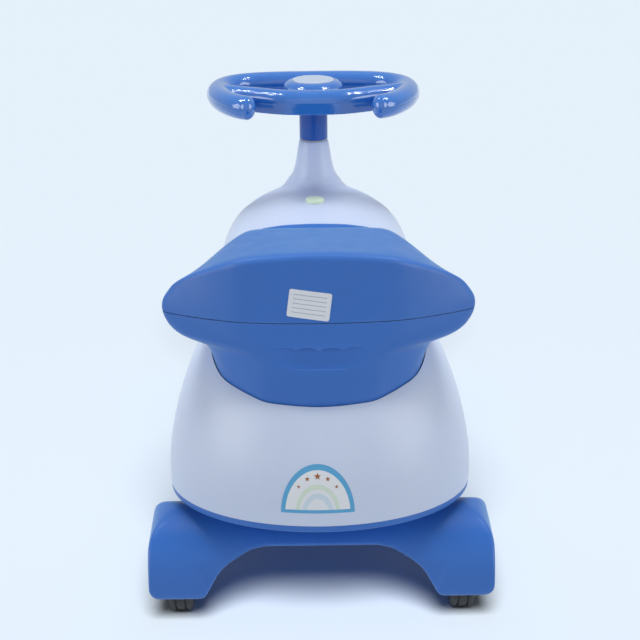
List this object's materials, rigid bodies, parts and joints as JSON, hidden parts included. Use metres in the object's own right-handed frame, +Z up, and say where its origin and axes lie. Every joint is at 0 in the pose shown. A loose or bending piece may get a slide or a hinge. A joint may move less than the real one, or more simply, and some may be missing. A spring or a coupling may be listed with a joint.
{
  "type": "swing car",
  "caption": "Child's wiggle-driven ride-on car with a waisted body, a winged saddle seat and a steering wheel on an upright column.",
  "frame": {"origin": "centre of the bounding box in plan, on the ground plane that the front and rear road wheels stand on", "axes": "+Y is the way the car faces and its length, +X is the rider's right-hand side, +Z is up"},
  "size_m": [0.326, 0.72, 0.4138],
  "materials": {
    "white_plastic": "satin moulded polypropylene",
    "blue_plastic": "fine-grained moulded polypropylene",
    "gloss_blue": "polished moulded ABS",
    "green_plastic": "satin moulded plastic",
    "grey_plastic": "satin moulded plastic",
    "black_plastic": "moulded polypropylene",
    "black_tyre": "moulded soft polyurethane tread",
    "nylon": "natural nylon",
    "zinc_steel": "zinc plated",
    "bright_cap": "bright pressed steel"
  },
  "bodies": {
    "car_body": {"body_upper_shell": "white_plastic", "body_lower_shell": "blue_plastic", "seat_base": "blue_plastic", "seat_top": "blue_plastic", "rear_axle_housing": "blue_plastic", "rear_axle_left": "zinc_steel", "rear_axle_right": "zinc_steel", "rear_axle_cap_left": "bright_cap", "rear_axle_cap_right": "bright_cap", "hood_plug": "green_plastic", "neck_upper_bush": "nylon", "floor_bush": "nylon", "body_screw_1": "zinc_steel", "body_screw_2": "zinc_steel", "body_screw_3": "zinc_steel", "body_screw_4": "zinc_steel", "body_screw_5": "zinc_steel", "body_screw_6": "zinc_steel", "housing_bolt_1": "zinc_steel", "housing_bolt_2": "zinc_steel", "housing_bolt_3": "zinc_steel", "housing_bolt_4": "zinc_steel", "seat_screw_1": "zinc_steel", "seat_screw_2": "zinc_steel", "seat_screw_3": "zinc_steel", "seat_screw_4": "zinc_steel", "seat_mount_screw_1": "zinc_steel", "seat_mount_screw_2": "zinc_steel", "nose_wheel_block": "black_plastic", "nose_wheel_pin": "zinc_steel"},
    "steering": {"steering_wheel_lower": "gloss_blue", "steering_wheel_upper": "gloss_blue", "hub_cap": "grey_plastic", "steering_nut": "zinc_steel", "steering_screw_1": "zinc_steel", "steering_screw_2": "zinc_steel", "steering_screw_3": "zinc_steel", "steering_screw_4": "zinc_steel", "column_sleeve": "blue_plastic", "steering_shaft": "zinc_steel", "shaft_nut": "zinc_steel", "thrust_washer": "zinc_steel", "front_wheel_bracket": "black_plastic", "front_axle": "zinc_steel", "front_axle_nut_left": "zinc_steel", "front_axle_nut_right": "zinc_steel"},
    "front_wheel_left": {"front_wheel_left_hub": "black_plastic", "front_wheel_left_tyre": "black_tyre"},
    "front_wheel_right": {"front_wheel_right_hub": "black_plastic", "front_wheel_right_tyre": "black_tyre"},
    "rear_wheel_left": {"rear_wheel_left_hub": "black_plastic", "rear_wheel_left_tyre": "black_tyre"},
    "rear_wheel_right": {"rear_wheel_right_hub": "black_plastic", "rear_wheel_right_tyre": "black_tyre"},
    "nose_wheel_left": {"nose_wheel_left": "black_plastic"},
    "nose_wheel_right": {"nose_wheel_right": "black_plastic"}
  },
  "joints": [
    {"name": "steering_turn", "type": "hinge", "parent": "car_body", "child": "steering", "pos_m": [0, 0.2, 0.2], "axis": [0, 0, 1], "continuous": true},
    {"name": "front_wheel_left_roll", "type": "hinge", "parent": "steering", "child": "front_wheel_left", "pos_m": [-0.045, 0.165, 0.048], "axis": [1, 0, 0], "continuous": true},
    {"name": "front_wheel_right_roll", "type": "hinge", "parent": "steering", "child": "front_wheel_right", "pos_m": [0.045, 0.165, 0.048], "axis": [1, 0, 0], "continuous": true},
    {"name": "rear_wheel_left_roll", "type": "hinge", "parent": "car_body", "child": "rear_wheel_left", "pos_m": [-0.133, -0.28, 0.048], "axis": [1, 0, 0], "continuous": true},
    {"name": "rear_wheel_right_roll", "type": "hinge", "parent": "car_body", "child": "rear_wheel_right", "pos_m": [0.133, -0.28, 0.048], "axis": [1, 0, 0], "continuous": true},
    {"name": "nose_wheel_left_roll", "type": "hinge", "parent": "car_body", "child": "nose_wheel_left", "pos_m": [-0.029, 0.334, 0.026], "axis": [1, 0, 0], "continuous": true},
    {"name": "nose_wheel_right_roll", "type": "hinge", "parent": "car_body", "child": "nose_wheel_right", "pos_m": [0.029, 0.334, 0.026], "axis": [1, 0, 0], "continuous": true}
  ]
}
